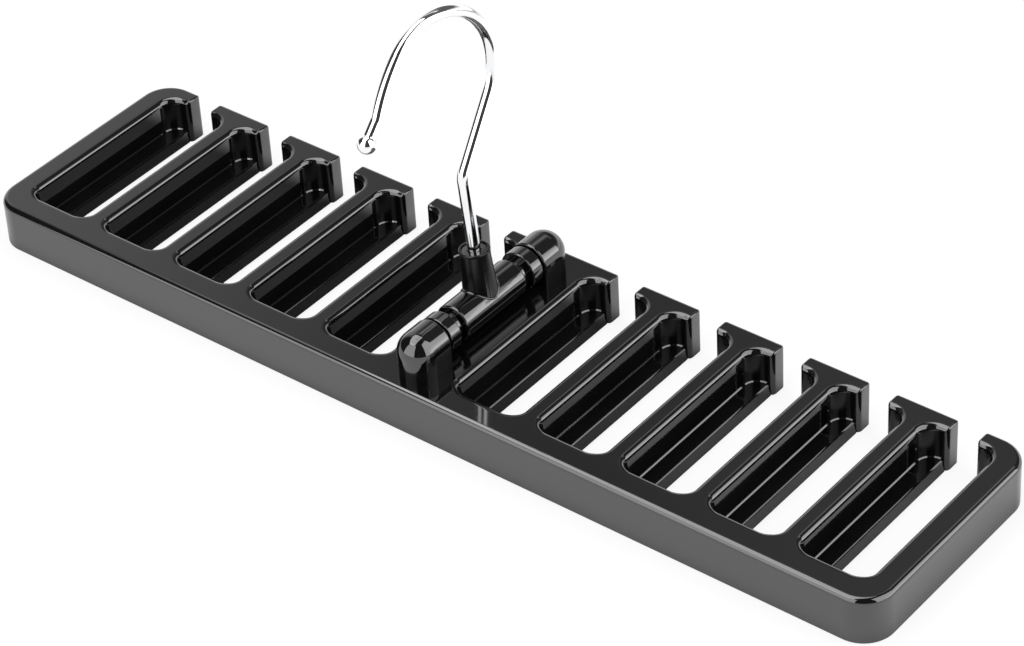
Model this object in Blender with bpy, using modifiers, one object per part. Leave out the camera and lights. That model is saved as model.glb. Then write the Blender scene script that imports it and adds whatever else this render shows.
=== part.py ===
"""Belt and scarf hanger: a slotted comb with a wire hook that folds down and turns.

Metres, +Z up. +X runs along the comb, +Y points to the mouths of the slots, and the
origin is the middle of the comb's underside.
"""

import math
from collections import namedtuple
from dataclasses import dataclass, replace

import bmesh
import bpy
from mathutils import Vector

# Comb in plan
SLOTS_PER_SIDE = 5
SLOT_WIDTH = 0.0234
SLOT_LENGTH = 0.0657
SLOT_CORNER_RADIUS = 0.0050
BAR_WIDTH = 0.0066
CENTRE_BLOCK_WIDTH = 0.0261
END_BAR_WIDTH = 0.00855
SPINE_WIDTH = 0.0090
LIP_DEPTH = 0.0063
LIP_CORNER_RADIUS = 0.0012
MOUTH_WIDTH = 0.0091
PLATE_CORNER_RADIUS = 0.0100

# Comb in section
SHELL_HEIGHT = 0.0156
SHELL_WALL = 0.0020
SKIRT_LIP = 0.0012
TOP_EDGE_RADIUS = 0.0011
BASE_THICKNESS = 0.0042
LEDGE_WIDTH = 0.0064
LEDGE_CORNER_RADIUS = 0.0020
LEDGE_EDGE_RADIUS = 0.0004

# Clearances
SEAT_GAP = 0.0003
PIN_CLEARANCE = 0.0003
BARREL_END_GAP = 0.0003

# Pivot, stations measured along the axle from its middle
BARREL_HALF_LENGTH = 0.0138
BARREL_STEP = 0.0003
BARREL_EDGE_RADIUS = 0.0006
COLLAR_RADIUS = 0.0063
COLLAR_NECK_RADIUS = 0.0049
COLLAR_NECK_LENGTH = 0.0024
COLLAR_LENGTH = 0.0049
COLLAR_EDGE_RADIUS = 0.0009
COLLAR_FACE_RADIUS = 0.0036
COLLAR_FACE_LENGTH = 0.0005
EAR_RADIUS = 0.0066
EAR_SHELF_LENGTH = 0.0070
EAR_TENON_RADIUS = 0.0035
PIN_RADIUS = 0.0020
PIN_DEPTH_IN_EAR = 0.0090

# Stem and the hook's seat in it, heights measured from the axle
STEM_HEIGHT = 0.0184
STEM_FOOT_RADIUS = 0.00545
STEM_TOP_RADIUS = 0.0048
STEM_EDGE_RADIUS = 0.0004
SHANK_FOOT_HEIGHT = 0.0083
SHANK_COLLAR_HEIGHT = 0.0016
SHANK_COLLAR_RADIUS = 0.0030
BUSH_FLANGE_RADIUS = 0.0037
BUSH_FLANGE_HEIGHT = 0.0010
BUSH_RECESS_DEPTH = 0.0008

# Hook
WIRE_RADIUS = 0.0020
SHANK_TOP_HEIGHT = 0.0431
SHANK_BEND_RADIUS = 0.0060
LIMB_ANGLE = math.radians(35.4)
LIMB_LENGTH = 0.0245
LOOP_RADIUS = 0.0216
LOOP_SWEEP = math.radians(168.2)
TAIL_RADIUS = 0.0484
TAIL_SWEEP = math.radians(20.1)
NECK_BEND_RADIUS = 0.0050
NECK_ANGLE = math.radians(17.4)
NECK_LENGTH = 0.0080
BALL_RADIUS = 0.00285
SPIGOT_RADIUS = 0.0012
SPIGOT_DEPTH = 0.0005
HOOK_LEAN = math.radians(5.5)
HOOK_TURN = math.radians(86.0)

# Screws
EAR_SCREW_RADIUS = 0.0013
EAR_SCREW_HEAD_RADIUS = 0.0028
EAR_SCREW_HEAD_HEIGHT = 0.0016
EAR_SCREW_LENGTH = 0.0105
BASE_SCREW_RADIUS = 0.0008
BASE_SCREW_HEAD_RADIUS = 0.0019
BASE_SCREW_HEAD_HEIGHT = 0.0012
BASE_SCREW_LENGTH = 0.0090
BASE_SCREW_INSET = 0.0065
HEAD_SINK = 0.0003
BOSS_WALL = 0.0015
DRIVE_WIDTH = 0.0008
DRIVE_DEPTH = 0.0006

# Derived places
PITCH = SLOT_WIDTH + BAR_WIDTH
FIRST_SLOT = (CENTRE_BLOCK_WIDTH + SLOT_WIDTH) / 2
HALF_LENGTH = FIRST_SLOT + (SLOTS_PER_SIDE - 1) * PITCH + SLOT_WIDTH / 2 + END_BAR_WIDTH
HALF_DEPTH = (SPINE_WIDTH + SLOT_LENGTH + LIP_DEPTH) / 2
SLOT_FRONT = -HALF_DEPTH + SPINE_WIDTH
SLOT_REAR = HALF_DEPTH - LIP_DEPTH
AXLE_HEIGHT = SHELL_HEIGHT + SEAT_GAP + COLLAR_RADIUS
BARREL_RADIUS = COLLAR_RADIUS - BARREL_STEP
COLLAR_START = BARREL_HALF_LENGTH + BARREL_END_GAP
COLLAR_RING_START = COLLAR_START + COLLAR_NECK_LENGTH
COLLAR_RING_END = COLLAR_RING_START + COLLAR_LENGTH
EAR_FACE = COLLAR_RING_END + COLLAR_FACE_LENGTH + SEAT_GAP
EAR_CENTRE = EAR_FACE + EAR_SHELF_LENGTH
PIN_BORE = PIN_RADIUS + PIN_CLEARANCE
BASE_TOP_GAP = BASE_THICKNESS + SEAT_GAP
SHANK_BORE = WIRE_RADIUS + PIN_CLEARANCE
STEM_BORE = SHANK_COLLAR_RADIUS + PIN_CLEARANCE
COLLAR_ON_SHANK = SHANK_FOOT_HEIGHT + SEAT_GAP
BUSH_FOOT = COLLAR_ON_SHANK + SHANK_COLLAR_HEIGHT + SEAT_GAP
FLANGE_FOOT = STEM_HEIGHT - BUSH_RECESS_DEPTH + SEAT_GAP

Corner = namedtuple("Corner", "x y radius steps")
PLATE_STEPS = 8
SLOT_STEPS = 5
TIP_STEPS = 2


@dataclass(frozen=True)
class CombLayer:
    """Plan sizes of one comb-shaped layer: half widths, and distances from the middle."""

    half_length: float
    half_depth: float
    slot_half: float
    slot_front: float
    slot_rear: float
    mouth_half: float
    plate_radius: float
    slot_radius: float
    slot_steps: int
    rear_steps: int
    tip_radius: float
    tip_steps: int


SHELL_LAYER = CombLayer(
    half_length=HALF_LENGTH,
    half_depth=HALF_DEPTH,
    slot_half=SLOT_WIDTH / 2,
    slot_front=SLOT_FRONT,
    slot_rear=SLOT_REAR,
    mouth_half=MOUTH_WIDTH / 2,
    plate_radius=PLATE_CORNER_RADIUS,
    slot_radius=SLOT_CORNER_RADIUS,
    slot_steps=SLOT_STEPS,
    rear_steps=SLOT_STEPS,
    tip_radius=LIP_CORNER_RADIUS,
    tip_steps=TIP_STEPS,
)
HOLLOW_LAYER = replace(SHELL_LAYER, tip_steps=0)
BASE_LAYER = CombLayer(
    half_length=HALF_LENGTH - SKIRT_LIP - SEAT_GAP,
    half_depth=HALF_DEPTH - SKIRT_LIP - SEAT_GAP,
    slot_half=SLOT_WIDTH / 2 - LEDGE_WIDTH,
    slot_front=SLOT_FRONT + LEDGE_WIDTH,
    slot_rear=SLOT_REAR - SEAT_GAP,
    mouth_half=MOUTH_WIDTH / 2 + SKIRT_LIP + SEAT_GAP,
    plate_radius=PLATE_CORNER_RADIUS - SKIRT_LIP - SEAT_GAP,
    slot_radius=LEDGE_CORNER_RADIUS,
    slot_steps=TIP_STEPS,
    rear_steps=0,
    tip_radius=0,
    tip_steps=0,
)


def clear_scene():
    for item in list(bpy.data.objects):
        bpy.data.objects.remove(item, do_unlink=True)


def new_collection(name):
    collection = bpy.data.collections.new(name)
    bpy.context.scene.collection.children.link(collection)
    return collection


def new_material(name, color, roughness, metallic=0.0):
    material = bpy.data.materials.new(name)
    material.use_nodes = True
    shader = material.node_tree.nodes["Principled BSDF"]
    shader.inputs["Base Color"].default_value = (*color, 1.0)
    shader.inputs["Roughness"].default_value = roughness
    shader.inputs["Metallic"].default_value = metallic
    material.diffuse_color = (*color, 1.0)
    return material


def new_empty(name, location, rotation, parent=None):
    empty = bpy.data.objects.new(name, None)
    empty.empty_display_size = 0.01
    empty.location = location
    empty.rotation_euler = rotation
    empty.parent = parent
    PARTS.objects.link(empty)
    return empty


def place(name, mesh, material=None, parent=None, location=(0, 0, 0), rotation=(0, 0, 0)):
    """Put a mesh into the scene: as a part with its material, or as a hidden cutter."""
    item = bpy.data.objects.new(name, mesh)
    item.location = location
    item.rotation_euler = rotation
    item.parent = parent
    if material is None:
        item.hide_render = True
        item.display_type = "WIRE"
        CUTTERS.objects.link(item)
    else:
        mesh.materials.append(material)
        PARTS.objects.link(item)
    return item


def mesh_from(bm, name):
    bmesh.ops.recalc_face_normals(bm, faces=bm.faces)
    mesh = bpy.data.meshes.new(name)
    bm.to_mesh(mesh)
    bm.free()
    return mesh


def smooth(mesh, angle=math.radians(35)):
    mesh.shade_smooth()
    mesh.set_sharp_from_angle(angle=angle)
    return mesh


def cylinder_mesh(name, radius, low, high, steps=24):
    """An upright cylinder between two heights."""
    bm = bmesh.new()
    bmesh.ops.create_cone(
        bm, cap_ends=True, segments=steps, radius1=radius, radius2=radius, depth=high - low
    )
    bmesh.ops.translate(bm, verts=bm.verts, vec=(0, 0, (high + low) / 2))
    return smooth(mesh_from(bm, name))


def box_mesh(name, size, low):
    """A box centred on the vertical axis, with its underside at the given height."""
    bm = bmesh.new()
    bmesh.ops.create_cube(bm, size=1.0)
    bmesh.ops.scale(bm, verts=bm.verts, vec=size)
    bmesh.ops.translate(bm, verts=bm.verts, vec=(0, 0, low + size[2] / 2))
    return mesh_from(bm, name)


def turned(name, profile, closed, material, steps=32, **placing):
    """Turn a profile of (radius, height) about the vertical axis with a Screw modifier.

    The profile runs down the outer side, and back up the bore where it is closed.
    """
    bm = bmesh.new()
    verts = [bm.verts.new((radius, 0, height)) for radius, height in profile]
    for start, end in zip(verts, verts[1:]):
        bm.edges.new((start, end))
    if closed:
        bm.edges.new((verts[-1], verts[0]))
    mesh = bpy.data.meshes.new(name)
    bm.to_mesh(mesh)
    bm.free()
    item = place(name, mesh, material, **placing)
    screw = item.modifiers.new("Turn", "SCREW")
    screw.axis = "Z"
    screw.angle = math.tau
    screw.steps = steps
    screw.render_steps = steps
    screw.use_merge_vertices = True
    screw.merge_threshold = 0.00001
    return item


def cut(item, cutter, operation="DIFFERENCE"):
    boolean = item.modifiers.new(cutter.name, "BOOLEAN")
    boolean.operation = operation
    boolean.object = cutter
    return boolean


def quarter(centre_x, centre_y, radius, start, steps):
    """Points of a quarter round in a profile, turning clockwise from the start angle."""
    return [
        (
            centre_x + radius * math.cos(start - math.pi / 2 * step / steps),
            centre_y + radius * math.sin(start - math.pi / 2 * step / steps),
        )
        for step in range(steps + 1)
    ]


def rounded_outline(corners):
    """Round the square corners of a closed outline.

    Where two roundings need more than the edge between them, both shrink to fit it.
    """
    count = len(corners)
    points = []
    for index, corner in enumerate(corners):
        here = Vector((corner.x, corner.y))
        if corner.steps == 0:
            points.append(here)
            continue
        radius = corner.radius
        directions = []
        for other in (corners[index - 1], corners[(index + 1) % count]):
            edge = Vector((other.x, other.y)) - here
            needed = corner.radius + (other.radius if other.steps else 0)
            radius = min(radius, corner.radius * 0.98 * edge.length / needed)
            directions.append(edge.normalized())
        to_before, to_after = directions
        centre = here + (to_before + to_after) * radius
        for step in range(corner.steps + 1):
            angle = math.pi / 2 * step / corner.steps
            points.append(centre - radius * (to_after * math.cos(angle) + to_before * math.sin(angle)))
    return points


def slot_centres():
    right = [FIRST_SLOT + index * PITCH for index in range(SLOTS_PER_SIDE)]
    return sorted(right + [-x for x in right], reverse=True)


def comb_outline(layer, shrink=0.0):
    """A layer's outline with all its slots, anticlockwise from the front left corner.

    Its material is shrunk all round by a distance, or grown where that is negative.
    """
    far_x = layer.half_length - shrink
    far_y = layer.half_depth - shrink
    plate = max(layer.plate_radius - shrink, 0.0001)
    slot = layer.slot_radius + shrink
    tip = max(layer.tip_radius - shrink, 0.00005)
    half = layer.slot_half + shrink
    gate = layer.mouth_half + shrink
    near_y = layer.slot_front - shrink
    lip_y = layer.slot_rear + (shrink if layer.slot_half > layer.mouth_half else -shrink)
    corners = [
        Corner(-far_x, -far_y, plate, PLATE_STEPS),
        Corner(far_x, -far_y, plate, PLATE_STEPS),
        Corner(far_x, far_y, plate, PLATE_STEPS),
    ]
    for x in slot_centres():
        corners += [
            Corner(x + gate, far_y, tip, layer.tip_steps),
            Corner(x + gate, lip_y, tip, layer.tip_steps),
            Corner(x + half, lip_y, slot, layer.rear_steps),
            Corner(x + half, near_y, slot, layer.slot_steps),
            Corner(x - half, near_y, slot, layer.slot_steps),
            Corner(x - half, lip_y, slot, layer.rear_steps),
            Corner(x - gate, lip_y, tip, layer.tip_steps),
            Corner(x - gate, far_y, tip, layer.tip_steps),
        ]
    corners.append(Corner(-far_x, far_y, plate, PLATE_STEPS))
    return rounded_outline(corners)


def comb_mesh(name, layer, low, high, shrink=0.0, edge=0.0, steps=3):
    """Loft a comb-shaped body upwards, its section shrinking round the rounded upper edge."""
    sections = [(low, shrink)]
    if edge > 0:
        for step in range(steps + 1):
            angle = math.pi / 2 * step / steps
            sections.append((high - edge * (1 - math.sin(angle)), shrink + edge * (1 - math.cos(angle))))
    else:
        sections.append((high, shrink))
    bm = bmesh.new()
    rings = [
        [bm.verts.new((point.x, point.y, height)) for point in comb_outline(layer, inward)]
        for height, inward in sections
    ]
    count = len(rings[0])
    for lower, upper in zip(rings, rings[1:]):
        for index in range(count):
            after = (index + 1) % count
            bm.faces.new((lower[index], lower[after], upper[after], upper[index]))
    bm.faces.new(rings[0])
    bm.faces.new(rings[-1])
    return mesh_from(bm, name)


def ear_mesh(name, direction):
    """A bearing ear: an arch on straight sides, closed by a quarter sphere at its outer end.

    Every station along the axle is an arch, whose width shrinks along the dome.
    """
    foot = SHELL_HEIGHT + SEAT_GAP - AXLE_HEIGHT
    stations = [(0.0, EAR_RADIUS), (EAR_SHELF_LENGTH, EAR_RADIUS)]
    for step in range(1, 9):
        angle = math.radians(84) * step / 8
        stations.append((EAR_SHELF_LENGTH + EAR_RADIUS * math.sin(angle), EAR_RADIUS * math.cos(angle)))
    bm = bmesh.new()
    rings = []
    for reach, width in stations:
        arch = [(width * math.cos(math.pi * i / 14), width * math.sin(math.pi * i / 14)) for i in range(15)]
        section = [(width, foot)] + arch + [(-width, foot)]
        rings.append([bm.verts.new((x, direction * reach, z)) for x, z in section])
    count = len(rings[0])
    for near, far in zip(rings, rings[1:]):
        for i in range(count):
            after = (i + 1) % count
            bm.faces.new((near[i], near[after], far[after], far[i]))
    bm.faces.new(rings[0])
    bm.faces.new(rings[-1])
    return smooth(mesh_from(bm, name))


def ear(name, direction):
    item = place(name, ear_mesh(name, direction), GLOSS_BLACK, location=(0, direction * EAR_FACE, AXLE_HEIGHT))
    centre = (0, direction * EAR_CENTRE, 0)
    tenon = cylinder_mesh(name + "_tenon", EAR_TENON_RADIUS, BASE_TOP_GAP, SHELL_HEIGHT + 3 * SEAT_GAP)
    cut(item, place(name + "_tenon", tenon, location=centre), "UNION")
    depth = PIN_DEPTH_IN_EAR + SEAT_GAP
    socket = cylinder_mesh(name + "_socket", PIN_BORE, -depth, depth)
    cut(item, place(name + "_socket", socket, location=item.location, rotation=(math.pi / 2, 0, 0)))
    top = HEAD_SINK + EAR_SCREW_LENGTH + SEAT_GAP
    pilot = cylinder_mesh(name + "_pilot", EAR_SCREW_RADIUS + SEAT_GAP, 0, top)
    cut(item, place(name + "_pilot", pilot, location=centre))
    return item


def screw(name, x, y, radius, head_radius, head_height, length, steps):
    """A pan-head screw driven from below, with a cross in its head."""
    neck = HEAD_SINK + head_height
    top = HEAD_SINK + length
    edge = head_height / 4
    profile = [(0, top), (radius * 0.5, top), (radius, top - radius), (radius, neck), (head_radius, neck)]
    profile += [(head_radius, HEAD_SINK + edge), (head_radius - edge, HEAD_SINK), (0, HEAD_SINK)]
    item = turned(name, profile, False, STEEL, steps=steps, location=(x, y, 0))
    reach = head_radius * 1.2
    for index, size in enumerate(((reach, DRIVE_WIDTH, 2 * DRIVE_DEPTH), (DRIVE_WIDTH, reach, 2 * DRIVE_DEPTH))):
        arm = box_mesh(f"{name}_drive_{index}", size, HEAD_SINK - DRIVE_DEPTH)
        cut(item, place(arm.name, arm, location=(x, y, 0)))
    return item


def screw_holes(name, x, y, radius, head_radius, head_height):
    """Cutters for a sunk head and its shank in the base plate."""
    sink = cylinder_mesh(name + "_sink", head_radius + SEAT_GAP, -0.001, HEAD_SINK + head_height + SEAT_GAP)
    hole = cylinder_mesh(name + "_hole", radius + SEAT_GAP, -0.001, BASE_THICKNESS + 0.001)
    return [place(mesh.name, mesh, location=(x, y, 0)) for mesh in (sink, hole)]


def collar(name, direction):
    """A turned spacer with its ring, a slim neck to the barrel and a raised face to the ear."""
    soft = COLLAR_EDGE_RADIUS
    low = COLLAR_RING_START
    high = COLLAR_RING_END
    profile = [(COLLAR_FACE_RADIUS, high + COLLAR_FACE_LENGTH), (COLLAR_FACE_RADIUS, high)]
    profile += quarter(COLLAR_RADIUS - soft, high - soft, soft, math.pi / 2, 3)
    profile += quarter(COLLAR_RADIUS - soft, low + soft, soft, 0, 3)
    profile += [(COLLAR_NECK_RADIUS, low), (COLLAR_NECK_RADIUS, COLLAR_START)]
    profile += [(PIN_BORE, COLLAR_START), (PIN_BORE, high + COLLAR_FACE_LENGTH)]
    turn = -direction * math.pi / 2
    return turned(name, profile, True, GLOSS_BLACK, steps=28, location=(0, 0, AXLE_HEIGHT), rotation=(turn, 0, 0))


def pivot_block(parent):
    """The barrel and the stem, with the axle's bore and the hook's seat."""
    soft = BARREL_EDGE_RADIUS
    end = BARREL_HALF_LENGTH
    profile = [(0, end)] + quarter(BARREL_RADIUS - soft, end - soft, soft, math.pi / 2, 2)
    profile += quarter(BARREL_RADIUS - soft, soft - end, soft, 0, 2) + [(0, -end)]
    item = turned("t_block", profile, False, GLOSS_BLACK, steps=36, parent=parent, rotation=(math.pi / 2, 0, 0))
    soft = STEM_EDGE_RADIUS
    profile = [(0, STEM_HEIGHT)] + quarter(STEM_TOP_RADIUS - soft, STEM_HEIGHT - soft, soft, math.pi / 2, 2)
    profile += [(STEM_FOOT_RADIUS, 0), (0, 0)]
    stem = turned("t_block_stem", profile, False, None, steps=32, parent=parent)
    cut(item, stem, "UNION")
    half = BARREL_HALF_LENGTH + 0.001
    bore = cylinder_mesh("t_block_bore", PIN_BORE, -half, half)
    cut(item, place("t_block_bore", bore, parent=parent, rotation=(math.pi / 2, 0, 0)))
    over = STEM_HEIGHT + 0.001
    seat = cylinder_mesh("t_block_seat", STEM_BORE, SHANK_FOOT_HEIGHT - SEAT_GAP, over)
    cut(item, place("t_block_seat", seat, parent=parent))
    recess = cylinder_mesh(
        "t_block_recess", BUSH_FLANGE_RADIUS + SEAT_GAP, STEM_HEIGHT - BUSH_RECESS_DEPTH, over
    )
    cut(item, place("t_block_recess", recess, parent=parent))
    return item


def stem_bush(parent):
    sleeve = STEM_BORE - SEAT_GAP
    top = FLANGE_FOOT + BUSH_FLANGE_HEIGHT
    edge = BUSH_FLANGE_HEIGHT / 3
    profile = [(SHANK_BORE, top), (BUSH_FLANGE_RADIUS - edge, top), (BUSH_FLANGE_RADIUS, top - edge)]
    profile += [(BUSH_FLANGE_RADIUS, FLANGE_FOOT), (sleeve, FLANGE_FOOT), (sleeve, BUSH_FOOT)]
    profile += [(SHANK_BORE, BUSH_FOOT)]
    return turned("stem_bush", profile, True, CHROME, steps=28, parent=parent)


def shank_collar(parent):
    top = COLLAR_ON_SHANK + SHANK_COLLAR_HEIGHT
    profile = [(SHANK_BORE, top), (SHANK_COLLAR_RADIUS, top)]
    profile += [(SHANK_COLLAR_RADIUS, COLLAR_ON_SHANK), (SHANK_BORE, COLLAR_ON_SHANK)]
    return turned("shank_collar", profile, True, STEEL, steps=24, parent=parent)


class WirePath:
    """A flat path of straight runs and bends, followed from its foot upwards."""

    def __init__(self, x, z):
        self.here = Vector((x, z))
        self.heading = math.pi / 2
        self.points = [self.here.copy()]

    def along(self):
        return Vector((math.cos(self.heading), math.sin(self.heading)))

    def run(self, length):
        self.here = self.here + self.along() * length
        self.points.append(self.here.copy())

    def bend(self, radius, angle, step=math.radians(8)):
        """Turn left by a positive angle and right by a negative one."""
        side = 1 if angle > 0 else -1
        count = max(2, math.ceil(abs(angle) / step))
        centre = self.here + Vector((-math.sin(self.heading), math.cos(self.heading))) * radius * side
        spoke = self.here - centre
        for index in range(1, count + 1):
            turn = angle * index / count
            turned_spoke = Vector((
                spoke.x * math.cos(turn) - spoke.y * math.sin(turn),
                spoke.x * math.sin(turn) + spoke.y * math.cos(turn),
            ))
            self.points.append(centre + turned_spoke)
        self.here = self.points[-1].copy()
        self.heading += angle


def hook_path():
    """The wire's centre line up to its end face, and the path on to the ball's centre."""
    corner = SHANK_BEND_RADIUS * math.tan(LIMB_ANGLE / 2)
    path = WirePath(0, SHANK_FOOT_HEIGHT)
    path.run(SHANK_TOP_HEIGHT - corner - SHANK_FOOT_HEIGHT)
    path.bend(SHANK_BEND_RADIUS, -LIMB_ANGLE)
    path.run(LIMB_LENGTH - corner)
    path.bend(LOOP_RADIUS, LOOP_SWEEP)
    path.bend(TAIL_RADIUS, TAIL_SWEEP, step=math.radians(5))
    path.bend(NECK_BEND_RADIUS, -NECK_ANGLE)
    face = math.sqrt(BALL_RADIUS**2 - (SPIGOT_RADIUS + SEAT_GAP) ** 2) + SEAT_GAP
    path.run(NECK_LENGTH - NECK_BEND_RADIUS * NECK_ANGLE - face)
    ball = path.here + path.along() * face
    return path, ball


def hook_wire(parent):
    path, ball = hook_path()
    curve = bpy.data.curves.new("hook_wire", "CURVE")
    curve.dimensions = "3D"
    curve.bevel_depth = WIRE_RADIUS
    curve.bevel_resolution = 3
    curve.use_fill_caps = True
    tip = ball + path.along() * SPIGOT_DEPTH
    step = path.here + path.along() * 0.00002
    places = [(point, 1.0) for point in path.points]
    places += [(step, SPIGOT_RADIUS / WIRE_RADIUS), (tip, SPIGOT_RADIUS / WIRE_RADIUS)]
    spline = curve.splines.new("POLY")
    spline.points.add(len(places) - 1)
    for target, (point, share) in zip(spline.points, places):
        target.co = (point.x, 0, point.y, 1)
        target.radius = share
    spline.use_smooth = True
    curve.materials.append(CHROME)
    item = bpy.data.objects.new("hook_wire", curve)
    item.parent = parent
    PARTS.objects.link(item)
    return item


def hook_ball(parent):
    path, ball = hook_path()
    bm = bmesh.new()
    bmesh.ops.create_uvsphere(bm, u_segments=20, v_segments=12, radius=BALL_RADIUS)
    tilt = path.heading - math.pi / 2
    place_at = (ball.x, 0, ball.y)
    item = place(
        "hook_ball", smooth(mesh_from(bm, "hook_ball")), CHROME,
        parent=parent, location=place_at, rotation=(0, -tilt, 0),
    )
    depth = SPIGOT_DEPTH + SEAT_GAP
    hole = cylinder_mesh("hook_ball_hole", SPIGOT_RADIUS + SEAT_GAP, -2 * BALL_RADIUS, depth, steps=16)
    cut(item, place("hook_ball_hole", hole, parent=parent, location=place_at, rotation=(0, -tilt, 0)))
    return item


def comb_shell(base_screws):
    mesh = comb_mesh("comb_shell", SHELL_LAYER, 0, SHELL_HEIGHT, edge=TOP_EDGE_RADIUS)
    item = place("comb_shell", mesh, GLOSS_BLACK)

    ceiling = SHELL_HEIGHT - SHELL_WALL
    hollow = place("comb_hollow", comb_mesh("comb_hollow", HOLLOW_LAYER, -0.001, ceiling, SHELL_WALL))
    ear_boss = EAR_TENON_RADIUS + SEAT_GAP + BOSS_WALL
    for index, direction in enumerate((-1, 1)):
        boss = cylinder_mesh(f"ear_boss_{index}", ear_boss, -0.002, SHELL_HEIGHT)
        cut(hollow, place(boss.name, boss, location=(0, direction * EAR_CENTRE, 0)))
    screw_boss = BASE_SCREW_RADIUS + SEAT_GAP + BOSS_WALL
    for index, (x, y) in enumerate(base_screws):
        boss = cylinder_mesh(f"screw_boss_{index}", screw_boss, -0.002, SHELL_HEIGHT)
        cut(hollow, place(boss.name, boss, location=(x, y, 0)))
    cut(item, hollow)
    cut(item, place("comb_rebate", comb_mesh("comb_rebate", BASE_LAYER, -0.001, BASE_TOP_GAP, -SEAT_GAP)))

    for index, direction in enumerate((-1, 1)):
        socket = cylinder_mesh(
            f"tenon_socket_{index}", EAR_TENON_RADIUS + SEAT_GAP, 0.001, SHELL_HEIGHT + 0.001
        )
        cut(item, place(socket.name, socket, location=(0, direction * EAR_CENTRE, 0)))
    top = HEAD_SINK + BASE_SCREW_LENGTH + SEAT_GAP
    for index, (x, y) in enumerate(base_screws):
        pilot = cylinder_mesh(f"screw_pilot_{index}", BASE_SCREW_RADIUS + SEAT_GAP, 0.001, top, steps=16)
        cut(item, place(pilot.name, pilot, location=(x, y, 0)))
    return item


def base_plate(base_screws):
    mesh = comb_mesh("base_plate", BASE_LAYER, 0, BASE_THICKNESS, edge=LEDGE_EDGE_RADIUS, steps=1)
    item = place("base_plate", mesh, SATIN_BLACK)
    cutters = []
    for index, direction in enumerate((-1, 1)):
        cutters += screw_holes(
            f"ear_screw_{index}", 0, direction * EAR_CENTRE,
            EAR_SCREW_RADIUS, EAR_SCREW_HEAD_RADIUS, EAR_SCREW_HEAD_HEIGHT,
        )
    for index, (x, y) in enumerate(base_screws):
        cutters += screw_holes(
            f"base_screw_{index}", x, y,
            BASE_SCREW_RADIUS, BASE_SCREW_HEAD_RADIUS, BASE_SCREW_HEAD_HEIGHT,
        )
    for cutter in cutters:
        cut(item, cutter)
    return item


clear_scene()
PARTS = new_collection("belt_and_scarf_hanger")
CUTTERS = new_collection("cutters")
GLOSS_BLACK = new_material("gloss_black_plastic", (0.012, 0.012, 0.013), 0.12)
SATIN_BLACK = new_material("satin_black_plastic", (0.014, 0.014, 0.015), 0.30)
CHROME = new_material("chrome", (0.82, 0.83, 0.85), 0.06, 1.0)
STEEL = new_material("zinc_steel", (0.55, 0.56, 0.58), 0.32, 1.0)

CORNER_X = HALF_LENGTH - BASE_SCREW_INSET
CORNER_Y = HALF_DEPTH - BASE_SCREW_INSET
BASE_SCREWS = {
    "left_front": (-CORNER_X, -CORNER_Y),
    "right_front": (CORNER_X, -CORNER_Y),
    "left_rear": (-CORNER_X, CORNER_Y),
    "right_rear": (CORNER_X, CORNER_Y),
}

comb_shell(BASE_SCREWS.values())
base_plate(BASE_SCREWS.values())
for label, (screw_x, screw_y) in BASE_SCREWS.items():
    screw(
        f"base_screw_{label}", screw_x, screw_y, BASE_SCREW_RADIUS, BASE_SCREW_HEAD_RADIUS,
        BASE_SCREW_HEAD_HEIGHT, BASE_SCREW_LENGTH, 16,
    )
for label, side_sign in (("front", -1), ("rear", 1)):
    ear(f"ear_{label}", side_sign)
    collar(f"collar_{label}", side_sign)
    screw(
        f"ear_screw_{label}", 0, side_sign * EAR_CENTRE, EAR_SCREW_RADIUS, EAR_SCREW_HEAD_RADIUS,
        EAR_SCREW_HEAD_HEIGHT, EAR_SCREW_LENGTH, 20,
    )

PIN_END = EAR_FACE + PIN_DEPTH_IN_EAR
place(
    "axle_pin", cylinder_mesh("axle_pin", PIN_RADIUS, -PIN_END, PIN_END), STEEL,
    location=(0, 0, AXLE_HEIGHT), rotation=(math.pi / 2, 0, 0),
)

# The fold axis lies along the axle, and the swivel axis stands in the stem
FOLD_AXIS = new_empty("fold_axis", (0, 0, AXLE_HEIGHT), (0, -HOOK_LEAN, 0))
SWIVEL_AXIS = new_empty("swivel_axis", (0, 0, 0), (0, 0, HOOK_TURN), parent=FOLD_AXIS)
pivot_block(FOLD_AXIS)
stem_bush(FOLD_AXIS)
hook_wire(SWIVEL_AXIS)
shank_collar(SWIVEL_AXIS)
hook_ball(SWIVEL_AXIS)
bpy.context.view_layer.update()
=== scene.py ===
"""Looks of the belt and scarf hanger: a glossy black comb and a chrome hook on a folding pivot."""

import logging
import math
from dataclasses import dataclass
from enum import Enum
from typing import Any, Callable, Iterable, Optional, Sequence, Union

import bmesh
import bpy
from mathutils import Matrix, Vector


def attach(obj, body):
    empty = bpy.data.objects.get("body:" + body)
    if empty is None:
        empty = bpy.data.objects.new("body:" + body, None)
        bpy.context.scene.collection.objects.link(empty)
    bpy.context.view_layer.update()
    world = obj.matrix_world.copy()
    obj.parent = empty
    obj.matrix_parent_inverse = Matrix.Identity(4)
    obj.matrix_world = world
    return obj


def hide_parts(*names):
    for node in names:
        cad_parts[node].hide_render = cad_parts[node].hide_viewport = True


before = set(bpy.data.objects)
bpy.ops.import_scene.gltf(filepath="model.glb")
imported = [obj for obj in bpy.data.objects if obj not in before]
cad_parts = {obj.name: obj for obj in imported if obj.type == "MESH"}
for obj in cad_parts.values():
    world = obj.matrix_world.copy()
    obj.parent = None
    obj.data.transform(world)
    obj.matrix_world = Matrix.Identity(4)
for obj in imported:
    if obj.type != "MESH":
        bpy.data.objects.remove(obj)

log = logging.getLogger("hanger")
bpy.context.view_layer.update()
OVERCUT = 0.001
SAME_POINT = 0.000001
SHARP_ANGLE = 40.0
SMALL_STEPS = 48
WHITE = (1.0, 1.0, 1.0, 1.0)
Point2 = tuple[float, float]
Point3 = tuple[float, float, float]
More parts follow.
